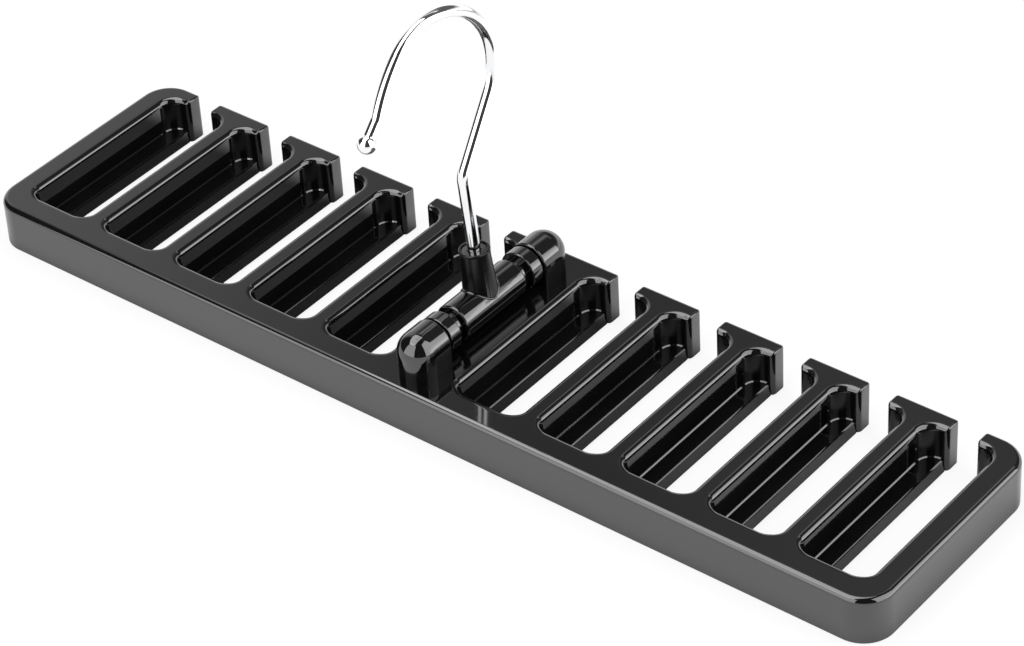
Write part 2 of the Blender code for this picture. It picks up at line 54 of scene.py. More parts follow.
Piece = bpy.types.Object
BMesh = bmesh.types.BMesh
Socket = bpy.types.NodeSocket
Operand = Union["Term", float]


class Body(Enum):
    """The rigid bodies that pieces ride on."""

    COMB = "comb"
    PIVOT = "pivot_block"
    HOOK = "hook"


class Slot(Enum):
    """The record's material slots."""

    GLOSS = "gloss_black"
    SATIN = "satin_black"
    CHROME = "chrome"
    ZINC = "zinc_steel"


# Shader maths


class Term:
    """A value in a shader graph that can be used in Python expressions."""

    def __init__(self, graph: "Graph", socket: Socket) -> None:
        """Wrap an output socket of a graph."""
        self.graph = graph
        self.socket = socket

    def __add__(self, other: Operand) -> "Term":
        """Sum."""
        return self.graph.math("ADD", self, other)

    __radd__ = __add__

    def __sub__(self, other: Operand) -> "Term":
        """Difference."""
        return self.graph.math("SUBTRACT", self, other)

    def __rsub__(self, other: float) -> "Term":
        """Difference from a number."""
        return self.graph.math("SUBTRACT", other, self)

    def __mul__(self, other: Operand) -> "Term":
        """Product."""
        return self.graph.math("MULTIPLY", self, other)

    __rmul__ = __mul__

    def __truediv__(self, other: Operand) -> "Term":
        """Quotient."""
        return self.graph.math("DIVIDE", self, other)

    def maximum(self, other: Operand) -> "Term":
        """The larger of two values."""
        return self.graph.math("MAXIMUM", self, other)

    def absolute(self) -> "Term":
        """The value without its sign."""
        return self.graph.math("ABSOLUTE", self)

    def step(self, low: float, high: float) -> "Term":
        """Make a smooth step from 0 to 1.

        Args:
            low: The value up to which the step is 0.
            high: The value from which the step is 1.

        Returns:
            The step.
        """
        inputs = {"Value": self, "From Min": low, "From Max": high, "To Min": 0.0, "To Max": 1.0}
        node = self.graph.node("ShaderNodeMapRange", inputs, interpolation_type="SMOOTHSTEP")
        return Term(self.graph, node.outputs["Result"])


class Graph:
    """A node tree that is built from Python expressions."""

    def __init__(self, tree: bpy.types.NodeTree) -> None:
        """Empty a node tree and wrap it."""
        self.tree = tree
        tree.nodes.clear()

    def node(self, kind: str, inputs: Optional[dict[Any, Any]] = None, **settings: Any) -> bpy.types.Node:
        """Add a node.

        Args:
            kind: The node's type.
            inputs: Values or links for its sockets, by name or index.
            settings: Its properties, set before its sockets.

        Returns:
            The node.
        """
        node = self.tree.nodes.new(kind)
        for name, value in settings.items():
            setattr(node, name, value)
        for key, value in (inputs or {}).items():
            source = value.socket if isinstance(value, Term) else value
            if isinstance(source, Socket):
                self.tree.links.new(source, node.inputs[key])
            else:
                node.inputs[key].default_value = source
        return node

    def math(self, operation: str, *operands: Operand) -> Term:
        """Add a Math node and return its result."""
        node = self.node("ShaderNodeMath", dict(enumerate(operands)), operation=operation)
        return Term(self, node.outputs[0])

    def noise(self, scale: float, detail: float = 2.0, stretch: Sequence[float] = (1, 1, 1)) -> Term:
        """Add a noise texture in object space.

        Args:
            scale: The noise's scale per metre.
            detail: Its number of octaves.
            stretch: A factor for each axis.

        Returns:
            The noise value.
        """
        place = self.node("ShaderNodeTexCoord")
        mapping = self.node("ShaderNodeMapping", {"Vector": place.outputs["Object"], "Scale": stretch})
        inputs = {"Vector": mapping.outputs["Vector"], "Scale": scale, "Detail": detail, "Roughness": 0.55}
        return Term(self, self.node("ShaderNodeTexNoise", inputs).outputs["Fac"])

    def dot(self, vector: Socket, axis: Sequence[float]) -> Term:
        """Measure a vector along a fixed unit axis."""
        node = self.node("ShaderNodeVectorMath", {0: vector, 1: tuple(axis)}, operation="DOT_PRODUCT")
        return Term(self, node.outputs["Value"])

    def axes(self, vector: Socket) -> list[Term]:
        """Split a vector into its X, Y and Z."""
        parts = self.node("ShaderNodeSeparateXYZ", {0: vector})
        return [Term(self, output) for output in parts.outputs]

    def mix(self, factor: Term, first: Sequence[float], second: Sequence[float]) -> Socket:
        """Blend two colours.

        Args:
            factor: The share of the second colour.
            first: The first colour.
            second: The second colour.

        Returns:
            The blended colour's socket.
        """
        node = self.node("ShaderNodeMix", {"Factor": factor}, data_type="RGBA")
        colors = [item for item in node.inputs if item.type == "RGBA"]
        colors[0].default_value = (*first, 1.0)
        colors[1].default_value = (*second, 1.0)
        return next(item for item in node.outputs if item.type == "RGBA")

    def bump(self, height: Term, strength: float, distance: float) -> Socket:
        """Turn a height into a normal, with the distance that the height 1 stands for."""
        inputs = {"Height": height, "Strength": strength, "Distance": distance}
        return self.node("ShaderNodeBump", inputs).outputs["Normal"]

    def principled(self, inputs: dict[str, Any]) -> None:
        """End a material in a Principled shader with these inputs."""
        shader = self.node("ShaderNodeBsdfPrincipled", inputs)
        self.node("ShaderNodeOutputMaterial", {"Surface": shader.outputs["BSDF"]})

    def rays(self) -> tuple[Term, Term]:
        """Tell the kinds of ray apart.

        Returns:
            Whether a ray comes from the camera, and whether it was mirrored or went through glass.
        """
        path = self.node("ShaderNodeLightPath")
        kinds = ("Camera", "Glossy", "Transmission")
        camera, glossy, through = (Term(self, path.outputs[f"Is {kind} Ray"]) for kind in kinds)
        return camera, glossy.maximum(through)


def new_material(name: str) -> tuple[bpy.types.Material, Graph]:
    """Make an empty node material.

    Args:
        name: The material's name.

    Returns:
        The material and its graph.
    """
    material = bpy.data.materials.new(name)
    material.use_nodes = True
    return material, Graph(material.node_tree)


@dataclass(frozen=True)
class MouldedPlastic:
    """A moulded black plastic: a faint swirl in its gloss, a slight ripple and fine handling marks."""

    name: str
    color: Point3
    worn_color: Point3
    roughness: float
    ior: float
    roughness_spread: float = 0.03
    ripple: float = 0.05
    swirl_scale: float = 28.0
    swirl_stretch: Point3 = (0.5, 1.6, 1.0)
    swirl_fade: Point2 = (0.35, 0.75)
    swirl_share: float = 0.5
    grain_scale: float = 900.0
    grain_share: float = 0.3
    grain_height: float = 0.02
    scratch_scale: float = 420.0
    scratch_stretch: Point3 = (0.12, 2.4, 1.0)
    scratch_fade: Point2 = (0.62, 0.80)
    ripple_scale: float = 60.0
    ripple_height: float = 0.00004

    def build(self) -> bpy.types.Material:
        """Build the finish.

        Returns:
            The material.
        """
        material, graph = new_material(self.name)
        swirl = graph.noise(self.swirl_scale, 3.0, self.swirl_stretch).step(*self.swirl_fade)
        grain = graph.noise(self.grain_scale)
        scratches = graph.noise(self.scratch_scale, stretch=self.scratch_stretch).step(*self.scratch_fade)
        worn = swirl * self.swirl_share + grain * self.grain_share
        color = graph.mix(worn, self.color, self.worn_color)
        roughness = self.roughness + swirl * self.roughness_spread + scratches * self.roughness_spread
        ripple = graph.noise(self.ripple_scale, 1.0)
        normal = graph.bump(ripple + grain * self.grain_height, self.ripple, self.ripple_height)
        graph.principled({"Base Color": color, "Roughness": roughness, "IOR": self.ior, "Normal": normal})
        return material


@dataclass(frozen=True)
class PlatedMetal:
    """A plated metal: fine drawing lines along one axis and a slight change of gloss."""

    name: str
    color: Point3
    shade_color: Point3
    roughness: float
    roughness_spread: float
    bump: float
    drawn: Point3 = (1.0, 1.0, 1.0)
    cloud_scale: float = 70.0
    color_fade: Point2 = (0.3, 0.8)
    gloss_fade: Point2 = (0.4, 0.9)
    line_scale: float = 600.0
    line_height: float = 0.00002

    def build(self) -> bpy.types.Material:
        """Build the finish.

        Returns:
            The material.
        """
        material, graph = new_material(self.name)
        cloud = graph.noise(self.cloud_scale, 3.0)
        lines = graph.noise(self.line_scale, stretch=self.drawn)
        color = graph.mix(cloud.step(*self.color_fade), self.color, self.shade_color)
        roughness = self.roughness + cloud.step(*self.gloss_fade) * self.roughness_spread
        normal = graph.bump(lines, self.bump, self.line_height)
        graph.principled({"Base Color": color, "Roughness": roughness, "Metallic": 1.0, "Normal": normal})
        return material


GLOSS_BLACK = MouldedPlastic(
    "gloss_black_plastic",
    color=(0.0016, 0.0016, 0.0018),
    worn_color=(0.0036, 0.0036, 0.0040),
    roughness=0.045,
    ior=1.9,
)
# A duller, less reflective copy of the gloss black, used as painted shade on faces in recesses and in
# shade.
DULL_SHADED_BLACK = MouldedPlastic(
    "dull_shaded_black_plastic",
    color=(0.0022, 0.0022, 0.0024),
    worn_color=(0.0044, 0.0044, 0.0048),
    roughness=0.20,
    ior=1.42,
    roughness_spread=0.05,
)
SATIN_BLACK = MouldedPlastic(
    "satin_black_plastic",
    color=(0.0018, 0.0018, 0.0020),
    worn_color=(0.0040, 0.0040, 0.0044),
    roughness=0.055,
    ior=1.65,
    ripple=0.04,
)
CHROME = PlatedMetal(
    "chrome_plate",
    color=(0.92, 0.925, 0.93),
    shade_color=(0.86, 0.865, 0.88),
    roughness=0.03,
    roughness_spread=0.03,
    bump=0.02,
    drawn=(1.0, 1.0, 0.08),
)
ZINC = PlatedMetal(
    "zinc_plate",
    color=(0.60, 0.61, 0.62),
    shade_color=(0.44, 0.46, 0.50),
    roughness=0.24,
    roughness_spread=0.14,
    bump=0.15,
)


class Palette:
    """The finished materials, each built once."""

    def __init__(self) -> None:
        """Build every finish."""
        finishes = {Slot.GLOSS: GLOSS_BLACK, Slot.SATIN: SATIN_BLACK, Slot.CHROME: CHROME, Slot.ZINC: ZINC}
        self.materials = {slot: finish.build() for slot, finish in finishes.items()}
        self.dull_shaded_black = DULL_SHADED_BLACK.build()

    def dress(self, piece: Piece, slot: Slot, body: Body, *nodes: str) -> None:
        """Give a piece its finish, its body and the solids it stands for.

        Args:
            piece: The piece.
            slot: Its finish.
            body: The body it rides on.
            nodes: The names of the solids it replaces.
        """
        piece.data.materials.clear()
        piece.data.materials.append(self.materials[slot])
        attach(piece, body.value)
        if nodes:
            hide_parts(*nodes)
        log.info("piece %s on %s, for %s", piece.name, body.value, ", ".join(nodes) or "none")

    def give_dull_shade(self, piece: Piece, chosen: Callable[[Vector], bool]) -> None:
        """Give some faces of a dressed piece a dull, darker copy of the black plastic, as painted shade.

        Args:
            piece: The piece.
            chosen: Tells from a face's middle whether it is one of them.
        """
        piece.data.materials.append(self.dull_shaded_black)
        for face in piece.data.polygons:
            if chosen(face.center):
                face.material_index = 1

    def dress_solid(self, node: str, slot: Slot) -> None:
        """Give a carried solid its finish.

        Args:
            node: The solid's name.
            slot: Its finish.
        """
        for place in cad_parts[node].material_slots:
            place.material = self.materials[slot]
        log.info("solid %s keeps its shape in %s", node, slot.value)


# Mesh tools


def link_mesh(name: str, bm: BMesh, angle: float = SHARP_ANGLE) -> Piece:
    """Finish a mesh, shade it and link it to the scene.

    Args:
        name: The piece's name.
        bm: Its mesh, which is freed.
        angle: The angle in degrees above which an edge stays sharp.

    Returns:
        The piece.
    """
    bmesh.ops.recalc_face_normals(bm, faces=bm.faces)
    mesh = bpy.data.meshes.new(name)
    bm.to_mesh(mesh)
    bm.free()
    mesh.shade_smooth()
    mesh.set_sharp_from_angle(angle=math.radians(angle))
    piece = bpy.data.objects.new(name, mesh)
    bpy.context.scene.collection.objects.link(piece)
    return piece


def weight_normals(piece: Piece) -> None:
    """Keep a piece's large flat faces flat beside their rounded edges.

    Args:
        piece: The piece.
    """
    modifier = piece.modifiers.new("Flat faces", "WEIGHTED_NORMAL")
    modifier.mode = "FACE_AREA"
    modifier.weight = 100
    modifier.keep_sharp = True


def cut_away(piece: Piece, cutters: Sequence[Piece], angle: float = SHARP_ANGLE) -> None:
    """Cut shapes out of a piece and drop the cutters.

    Args:
        piece: The piece that is cut.
        cutters: The shapes to cut out, which are removed afterwards.
        angle: The angle in degrees above which an edge stays sharp.
    """
    for cutter in cutters:
        modifier = piece.modifiers.new(cutter.name, "BOOLEAN")
        modifier.operation = "DIFFERENCE"
        modifier.object = cutter
    bpy.context.view_layer.update()
    graph = bpy.context.evaluated_depsgraph_get()
    mesh = bpy.data.meshes.new_from_object(piece.evaluated_get(graph))
    piece.modifiers.clear()
    old = piece.data
    piece.data = mesh
    bpy.data.meshes.remove(old)
    mesh.shade_smooth()
    mesh.set_sharp_from_angle(angle=math.radians(angle))
    for cutter in cutters:
        bpy.data.objects.remove(cutter, do_unlink=True)


def loft(
    rings: Iterable[Sequence[Sequence[float]]], closed: bool = False, bm: Optional[BMesh] = None
) -> BMesh:
    """Skin rings of points, each closed on itself.

    Args:
        rings: The rings in order, all of one length.
        closed: Whether the last ring joins the first, rather than both being filled.
        bm: The mesh that gets the skin, if it isn't a new one.

    Returns:
        The mesh.
    """
    if bm is None:
        bm = bmesh.new()
    loops = [[bm.verts.new(point) for point in ring] for ring in rings]
    if closed:
        loops.append(loops[0])
    for near, far in zip(loops, loops[1:]):
        for index in range(len(near)):
            after = (index + 1) % len(near)
            bm.faces.new((near[index], near[after], far[after], far[index]))
    if not closed:
        bm.faces.new(loops[0])
        bm.faces.new(loops[-1])
    return bm


def turned(name: str, profile: Sequence[Point2], steps: int, closed: bool = False) -> Piece:
    """Turn a profile about the vertical axis.

    Args:
        name: The piece's name.
        profile: Points of radius and height, down the outer side.
        steps: The number of steps round the axis.
        closed: Whether the profile is a closed ring rather than ending on the axis.

    Returns:
        The piece.
    """
    bm = bmesh.new()
    points = list(profile) + ([profile[0]] if closed else [])
    verts = [bm.verts.new((radius, 0.0, height)) for radius, height in points]
    edges = [bm.edges.new(pair) for pair in zip(verts, verts[1:])]
    bmesh.ops.spin(
        bm, geom=verts + edges, cent=(0, 0, 0), axis=(0, 0, 1), angle=math.tau, steps=steps, use_merge=True
    )
    bmesh.ops.remove_doubles(bm, verts=bm.verts, dist=SAME_POINT)
    return link_mesh(name, bm)


def bar(name: str, radii: Point2, span: Point2, steps: int = SMALL_STEPS) -> Piece:
    """Build an upright round bar, to cut with.

    Args:
        name: The bar's name.
        radii: Its radius at the foot and at the top.
        span: The heights of its foot and its top.
        steps: The number of its sides.

    Returns:
        The bar.
    """
    low, high = span
    bm = bmesh.new()
    bmesh.ops.create_cone(
        bm, cap_ends=True, segments=steps, radius1=radii[0], radius2=radii[1], depth=high - low
    )
    bmesh.ops.translate(bm, verts=bm.verts, vec=(0, 0, (high + low) / 2))
    return link_mesh(name, bm)


def quarter(center: Point2, radius: float, start: float, steps: int) -> list[Point2]:
    """Return points of a quarter round that turns clockwise from a start angle in degrees."""
    angles = [math.radians(start - 90.0 * step / steps) for step in range(steps + 1)]
    return [(center[0] + radius * math.cos(a), center[1] + radius * math.sin(a)) for a in angles]


def set_place(piece: Piece, matrix: Matrix) -> None:
    """Move a piece's mesh to its place, so that the piece itself stays at the origin."""
    piece.data.transform(matrix)
    piece.data.update()


# The comb


class Edge(Enum):
    """The kinds of edge round the comb."""

    OUTER = "outer"
    RIM = "rim"
    MOUTH = "mouth"


@dataclass(frozen=True)
class Shrink:
    """How far each kind of edge is moved into the material."""

    outer: float = 0.0
    rim: float = 0.0
    mouth: float = 0.0

    def of(self, edge: Edge) -> float:
        """Return the distance for one kind of edge."""
        return getattr(self, edge.value)


@dataclass(frozen=True)
class PlanPoint:
    """A point of an outline, between two kinds of edge."""

    x: float
    y: float
    before: Edge
    after: Edge
    share: float

    def blend(self, value: Shrink) -> float:
        """Blend a value of the two kinds of edge."""
        return value.of(self.before) * (1.0 - self.share) + value.of(self.after) * self.share

    def on_rim(self) -> bool:
        """Tell whether the point lies on a slot's rim."""
        return self.before is Edge.RIM and self.after is Edge.RIM


@dataclass(frozen=True)
class PlanCorner:
    """One square corner of an outline: its place, rounding, steps and kinds of edge."""

    x: float
    y: float
    radius: float
    steps: int
    before: Edge
    after: Edge


@dataclass(frozen=True)
class CombPlan:
    """Plan sizes of one layer of the comb."""

    half_length: float
    half_depth: float
    slot_half: float
    slot_front: float
    slot_rear: float
    mouth_half: float
    plate_radius: float
    slot_radius: float
    rear_radius: float
    tip_radius: float
    plate_steps: int = 20
    slot_steps: int = 14
    tip_steps: int = 5
    slots_per_side: int = 5
    first_slot: float = 0.02475
    pitch: float = 0.0300
    least_tip: float = 0.00003
    rounding_share: float = 0.98

    def slot_centers(self) -> list[float]:
        """Return the slots' middles from right to left."""
        right = [self.first_slot + index * self.pitch for index in range(self.slots_per_side)]
        return sorted(right + [-x for x in right], reverse=True)

    def corners(self, shrink: Shrink) -> list[PlanCorner]:
        """List the outline's corners, with the material shrunk.

        Args:
            shrink: How far each kind of edge is moved in.

        Returns:
            The corners, anticlockwise from the front left.
        """
        far_x = self.half_length - shrink.outer
        far_y = self.half_depth - shrink.outer
        plate = self.plate_radius - shrink.outer
        tip_steps = self.tip_steps if self.tip_radius else 0
        outer_tip = max(self.tip_radius - max(shrink.outer, shrink.mouth), self.least_tip)
        inner_tip = max(self.tip_radius - max(shrink.rim, shrink.mouth), self.least_tip)
        half = self.slot_half + shrink.rim
        gate = self.mouth_half + shrink.mouth
        near_y = self.slot_front - shrink.rim
        lip_y = self.slot_rear + (shrink.rim if self.slot_half > self.mouth_half else -shrink.rim)
        front = self.slot_radius + shrink.rim
        rear = self.rear_radius + shrink.rim if self.rear_radius else 0.0
        rear_steps = self.slot_steps if self.rear_radius else 0
        outer, rim, mouth = Edge.OUTER, Edge.RIM, Edge.MOUTH
        front_left, front_right, rear_right, rear_left = (
            PlanCorner(x, y, plate, self.plate_steps, outer, outer)
            for x, y in ((-far_x, -far_y), (far_x, -far_y), (far_x, far_y), (-far_x, far_y))
        )
        right_half = (
            (gate, far_y, outer_tip, tip_steps, outer, mouth),
            (gate, lip_y, inner_tip, tip_steps, mouth, rim),
            (half, lip_y, rear, rear_steps, rim, rim),
            (half, near_y, front, self.slot_steps, rim, rim),
        )
        corners = [front_left, front_right, rear_right]
        for x in self.slot_centers():
            corners += [PlanCorner(x + across, *rest) for across, *rest in right_half]
            corners += [
                PlanCorner(x - across, y, radius, steps, after, before)
                for across, y, radius, steps, before, after in reversed(right_half)
            ]
        return corners + [rear_left]

    def outline(self, shrink: Shrink) -> list[PlanPoint]:
        """Round the corners into an outline.

        Args:
            shrink: How far each kind of edge is moved in.

        Returns:
            The outline's points.
        """
        corners = self.corners(shrink)
        count = len(corners)
        points: list[PlanPoint] = []
        for index, corner in enumerate(corners):
            here = Vector((corner.x, corner.y))
            if corner.steps == 0:
                points.append(PlanPoint(here.x, here.y, corner.before, corner.after, 1.0))
                continue
            radius = corner.radius
            directions = []
            for other in (corners[index - 1], corners[(index + 1) % count]):
                edge = Vector((other.x, other.y)) - here
                needed = corner.radius + (other.radius if other.steps else 0.0)
                radius = min(radius, corner.radius * self.rounding_share * edge.length / needed)
                directions.append(edge.normalized())
            before, after = directions
            center = here + (before + after) * radius
            for step in range(corner.steps + 1):
                share = step / corner.steps
                angle = math.pi / 2 * share
                point = center - radius * (after * math.cos(angle) + before * math.sin(angle))
                points.append(PlanPoint(point.x, point.y, corner.before, corner.after, share))
        return points


SHELL_PLAN = CombPlan(
    half_length=0.165,
    half_depth=0.0405,
    slot_half=0.0117,
    slot_front=-0.0315,
    slot_rear=0.0342,
    mouth_half=0.00455,
    plate_radius=0.010,
    slot_radius=0.005,
    rear_radius=0.005,
    tip_radius=0.0016,
)
BASE_PLAN = CombPlan(
    half_length=0.16365,
    half_depth=0.03915,
    slot_half=0.0053,
    slot_front=-0.0251,
    slot_rear=0.03405,
    mouth_half=0.0059,
    plate_radius=0.00865,
    slot_radius=0.002,
    rear_radius=0.0,
    tip_radius=0.0,
    slot_steps=8,
)


def level_ring(outline: Iterable[PlanPoint], height: float) -> list[Point3]:
    """Lay an outline at one height."""
    return [(point.x, point.y, height) for point in outline]


@dataclass
class CombShell:
    """The glossy shell: rounded outer edge, rounded slot rims and a rebate for the base plate."""

    palette: Palette
    height: float = 0.0156
    outer_edge: float = 0.0018
    rim_edge: float = 0.00185
    mouth_edge: float = 0.0007
    foot_edge: float = 0.00025
    edge_steps: int = 9
    base_height: float = 0.0042
    seam: float = 0.00012
    bead_width: float = 0.00036
    bead_height: float = 0.00032
    bead_sink: float = 0.0001
    corner_depth: float = 0.0050
    corner_gap: float = 0.0001
    roll_reach: float = 0.0042
    roll: tuple[Point2, ...] = (
        (0.0, -0.00070),
        (0.00003, -0.00045),
        (0.00011, -0.00032),
        (0.00025, -0.00025),
        (0.00043, -0.00019),
        (0.00066, -0.00012),
        (0.00092, -0.00005),
        (0.00122, -0.00001),
        (0.00185, 0.0),
    )

    def rolled(self, point: PlanPoint, offset: float, rise: float) -> float:
        """Return a rim point's height, with the flatter roll that runs round a slot's front end.

        Args:
            point: The point of the outline.
            offset: How far it lies from the slot's wall.
            rise: Its height on the plain rounded rim.

        Returns:
            The height.
        """
        if not point.on_rim():
            return rise
        share = min(max((SHELL_PLAN.slot_front + self.roll_reach - point.y) / self.roll_reach, 0.0), 1.0)
        share = share * share * (3.0 - 2.0 * share)
        fall = self.roll[-1][1]
        for (near, low), (far, high) in zip(self.roll, self.roll[1:]):
            if near <= offset <= far:
                fall = low + (high - low) * (offset - near) / (far - near)
        return rise * (1.0 - share) + (self.height + fall) * share

    def body_mesh(self) -> BMesh:
        """Loft the shell's outer form from outlines.

        Returns:
            The closed mesh.
        """
        foot = Shrink(self.foot_edge, self.foot_edge, self.foot_edge)
        rings = [
            [(point.x, point.y, point.blend(rise)) for point in SHELL_PLAN.outline(shrink)]
            for shrink, rise in ((foot, Shrink()), (Shrink(), foot))
        ]
        edges = (self.outer_edge, self.rim_edge, self.mouth_edge)
        for step in range(self.edge_steps + 1):
            angle = math.pi / 2 * step / self.edge_steps
            shrink = Shrink(*(edge * (1.0 - math.cos(angle)) for edge in edges))
            rise = Shrink(*(self.height - edge * (1.0 - math.sin(angle)) for edge in edges))
            rings.append([
                (point.x, point.y, self.rolled(point, shrink.rim, point.blend(rise)))
                for point in SHELL_PLAN.outline(shrink)
            ])
        return loft(rings)

    def rebate(self) -> Piece:
        """Build the cutter for the base plate's seat.

        Returns:
            The cutter.
        """
        outline = BASE_PLAN.outline(Shrink(-self.seam, -self.seam, -self.seam))
        heights = (-OVERCUT, self.base_height + self.seam)
        return link_mesh("shell_rebate", loft([level_ring(outline, height) for height in heights]))

    def foot_beads(self) -> Piece:
        """Build the small slanted beads where the slot walls meet the ledges.

        Returns:
            The beads, as one piece.
        """
        bm = bmesh.new()
        sink = self.bead_sink
        profile = [
            (-sink, -sink),
            (self.bead_width, -sink),
            (self.bead_width, 0.0),
            (0.0, self.bead_height),
            (-sink, self.bead_height),
        ]
        outlines = [SHELL_PLAN.outline(Shrink(-offset, -offset, -offset)) for offset, _ in profile]
        for center in SHELL_PLAN.slot_centers():
            walls = [
                index
                for index, point in enumerate(outlines[0])
                if point.on_rim() and abs(point.x - center) < SHELL_PLAN.pitch / 2
            ]
            rings = [
                [
                    (outline[index].x, outline[index].y, self.base_height + rise)
                    for (_, rise), outline in zip(profile, outlines)
                ]
                for index in walls
            ]
            loft(rings, bm=bm)
        return link_mesh("slot_foot_beads", bm, angle=25.0)

    def in_rear_corner(self, place: Vector) -> bool:
        """Tell whether a place on the shell is at the rear end of a slot's walls.

        Args:
            place: The place.

        Returns:
            Whether it is there, below the rounded rim.
        """
        across = min(abs(place.x - x) for x in SHELL_PLAN.slot_centers())
        inside = across < SHELL_PLAN.slot_half + self.corner_gap
        behind = -self.corner_depth < place.y - SHELL_PLAN.slot_rear < self.corner_gap
        return inside and behind and 0.0 < place.z < self.height - self.rim_edge

    def build(self) -> None:
        """Build and dress the shell and the beads at the slots' feet."""
        shell = link_mesh("shell_moulding", self.body_mesh())
        cut_away(shell, [self.rebate()])
        weight_normals(shell)
        self.palette.dress(shell, Slot.GLOSS, Body.COMB, "comb_shell")
        # Painted shade: the slots' rear corners, below the rim, get the darker dull copy of the plastic.
        self.palette.give_dull_shade(shell, self.in_rear_corner)
        self.palette.dress(self.foot_beads(), Slot.GLOSS, Body.COMB)


@dataclass
class ScrewSeat:
    """A screw in the underside: its place and sizes, its thread, its cross recess and its seat."""

    node: str
    x: float
    y: float
    head_radius: float
    head_height: float
    shank_radius: float
    length: float
    sink: float = 0.0003
    seat_depth: float = 0.0002
    seat_gap: float = 0.0005
    head_edge: float = 0.35
    thread_pitch: float = 0.8
    thread_root: float = 0.78
    tip: float = 0.4
    cross_arm: Point3 = (1.15, 0.26, 0.9)
    cross_taper: Point3 = (0.55, 0.6, 1.0)
    cross_turn: float = 0.4

    def hole(self) -> Piece:
        """Build the cutter for the sunk head's seat.

        Returns:
            The cutter.
        """
        wide = self.head_radius + self.seat_gap
        depth = self.sink + self.head_height + self.seat_depth
        hole = bar(f"{self.node}_seat", (wide, self.head_radius + self.seat_gap / 2), (-OVERCUT, depth))
        set_place(hole, Matrix.Translation((self.x, self.y, 0)))
        return hole

    def build(self, palette: Palette) -> None:
        """Build the screw with its cross recess.

        Args:
            palette: The finishes.
        """
        low = self.sink
        neck = low + self.head_height
        top = low + self.length
        edge = self.head_height * self.head_edge
        profile: list[Point2] = [(0.0, top), (self.shank_radius * self.tip, top)]
        turns = int((self.length - self.head_height) / (self.shank_radius * self.thread_pitch))
        height = (top - self.shank_radius - neck) / max(turns, 1)
        for index in range(turns):
            base = top - self.shank_radius - index * height
            profile.append((self.shank_radius, base))
            profile.append((self.shank_radius * self.thread_root, base - height / 2))
        profile += [(self.shank_radius, neck), (self.head_radius, neck)]
        profile += quarter((self.head_radius - edge, low + edge), edge, 0.0, 5)
        profile.append((0.0, low))
        screw = turned(f"{self.node}_screw", profile, SMALL_STEPS)
        long, wide, deep = self.cross_arm
        cutters = []
        for index in range(2):
            bm = bmesh.new()
            bmesh.ops.create_cube(bm, size=1.0)
            size = (self.head_radius * long, self.head_radius * wide, self.head_height * deep)
            bmesh.ops.scale(bm, verts=bm.verts, vec=size)
            bmesh.ops.scale(bm, verts=[vert for vert in bm.verts if vert.co.z > 0], vec=self.cross_taper)
            turn = Matrix.Rotation(math.pi / 2 * index + self.cross_turn, 3, "Z")
            bmesh.ops.rotate(bm, verts=bm.verts, matrix=turn)
            bmesh.ops.translate(bm, verts=bm.verts, vec=(0, 0, low))
            cutters.append(link_mesh(f"{self.node}_cross_{index}", bm))
        cut_away(screw, cutters)
        set_place(screw, Matrix.Translation((self.x, self.y, 0)))
        palette.dress(screw, Slot.ZINC, Body.COMB, self.node)


@dataclass
class BasePlate:
    """The plate under the shell, whose slot edges are the ledges, with its screws.

    A screw's sizes are its head's radius and height, its shank's radius and its length.
    """

    palette: Palette
    height: float = 0.0042
    ledge_bevel: float = 0.00048
    ledge_angles: Point3 = (43.0, 45.0, 47.0)
    ledge_lip: float = 0.00012
    ledge_draft: float = 0.00060
    draft_end: float = 2.5
    foot_edge: float = 0.00025
    ear_screw: tuple[float, ...] = (0.0028, 0.0016, 0.0013, 0.0105)
    ear_screw_y: float = 0.0292
    corner_screw: tuple[float, ...] = (0.0019, 0.0012, 0.0008, 0.0090)
    corner_x: float = 0.1585
    corner_y: float = 0.0340

    def seats(self) -> list[ScrewSeat]:
        """Place the screws under the ears and in the corners.

        Returns:
            The screws.
        """
        ends = (("front", -1), ("rear", 1))
        seats = [
            ScrewSeat(f"ear_screw_{end}", 0.0, sign * self.ear_screw_y, *self.ear_screw)
            for end, sign in ends
        ]
        for side, x_sign in (("left", -1), ("right", 1)):
            for end, y_sign in ends:
                place = (x_sign * self.corner_x, y_sign * self.corner_y)
                seats.append(ScrewSeat(f"base_screw_{side}_{end}", *place, *self.corner_screw))
        return seats

    def body_mesh(self) -> BMesh:
        """Loft the plate, with sloping slot sides and a small bevel along the ledges.

        Returns:
            The closed mesh.
        """
        foot = self.foot_edge
        draft = self.ledge_draft
        lip = self.ledge_lip
        facet = self.ledge_bevel / len(self.ledge_angles)
        drop = sum(facet * math.sin(math.radians(angle)) for angle in self.ledge_angles)
        height = self.height - drop
        sections = [
            (Shrink(foot, foot, foot), 0.0),
            (Shrink(), foot),
            (Shrink(0.0, draft, 0.0), height - lip * self.draft_end),
            (Shrink(0.0, draft + lip, lip), height),
        ]
        run = lip
        for angle in reversed(self.ledge_angles):
            run += facet * math.cos(math.radians(angle))
            height += facet * math.sin(math.radians(angle))
            sections.append((Shrink(0.0, draft + run, run), height))
        return loft([level_ring(BASE_PLAN.outline(shrink), height) for shrink, height in sections])

    def build(self) -> None:
        """Build and dress the plate and its screws."""
        plate = link_mesh("underside_plate", self.body_mesh())
        seats = self.seats()
        cut_away(plate, [seat.hole() for seat in seats], angle=14.0)
        weight_normals(plate)
        self.palette.dress(plate, Slot.SATIN, Body.COMB, "base_plate")
        for seat in seats:
            seat.build(self.palette)


# The pivot


